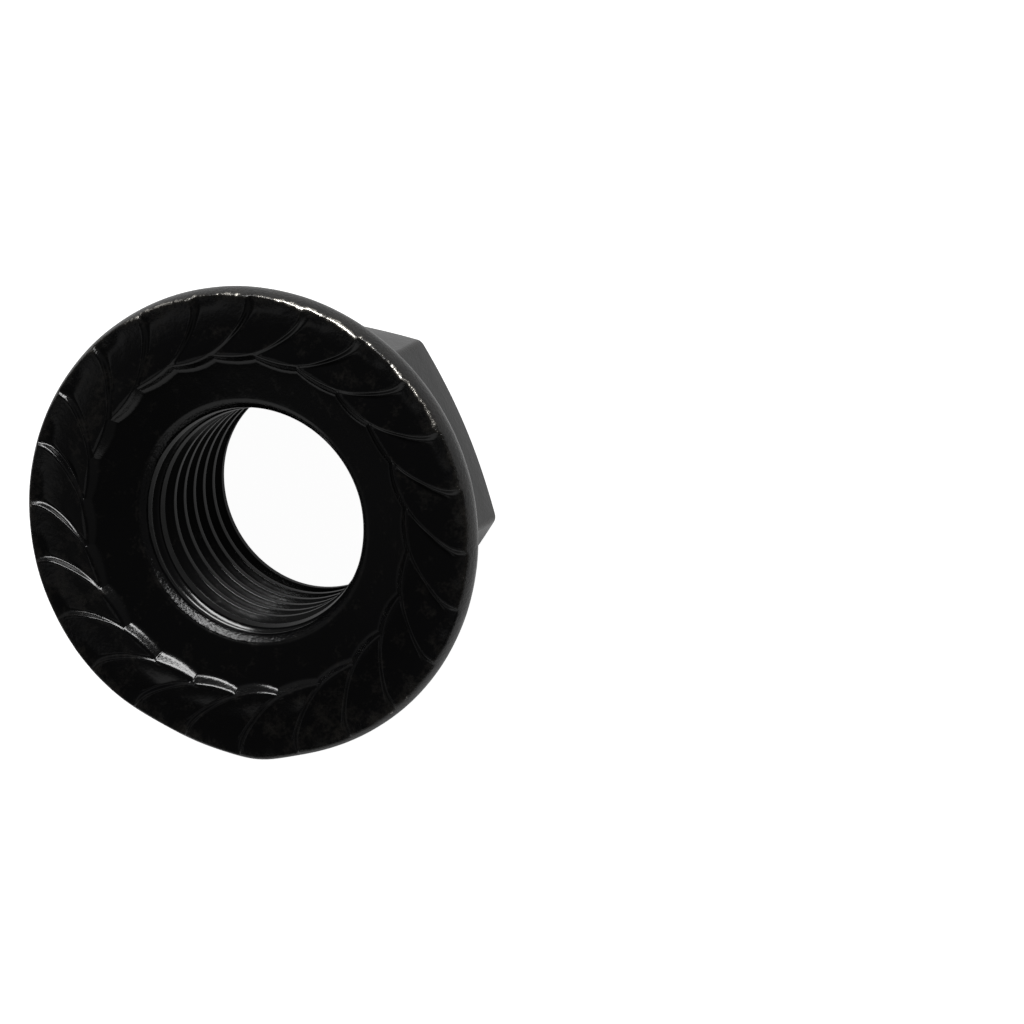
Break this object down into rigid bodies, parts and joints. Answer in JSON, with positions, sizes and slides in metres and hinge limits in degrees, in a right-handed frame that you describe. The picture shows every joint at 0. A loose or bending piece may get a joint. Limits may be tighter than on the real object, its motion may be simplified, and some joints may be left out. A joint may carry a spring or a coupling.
{
  "type": "serrated flange nut",
  "caption": "Hexagon nut with a built-in round flange, curved ramp serrations on its bearing face and a fine metric thread, in black-coated steel.",
  "frame": {"origin": "centre of the hexagon end face, on which the nut stands", "axes": "+Z along the thread's axis towards the serrated bearing face; +X through one corner of the hexagon"},
  "size_m": [0.024, 0.024, 0.0114],
  "materials": {
    "black_steel": "satin black coating, worn to bright metal along the edges"
  },
  "bodies": {
    "root": {"serrated_flange_nut": "black_steel"}
  },
  "joints": []
}
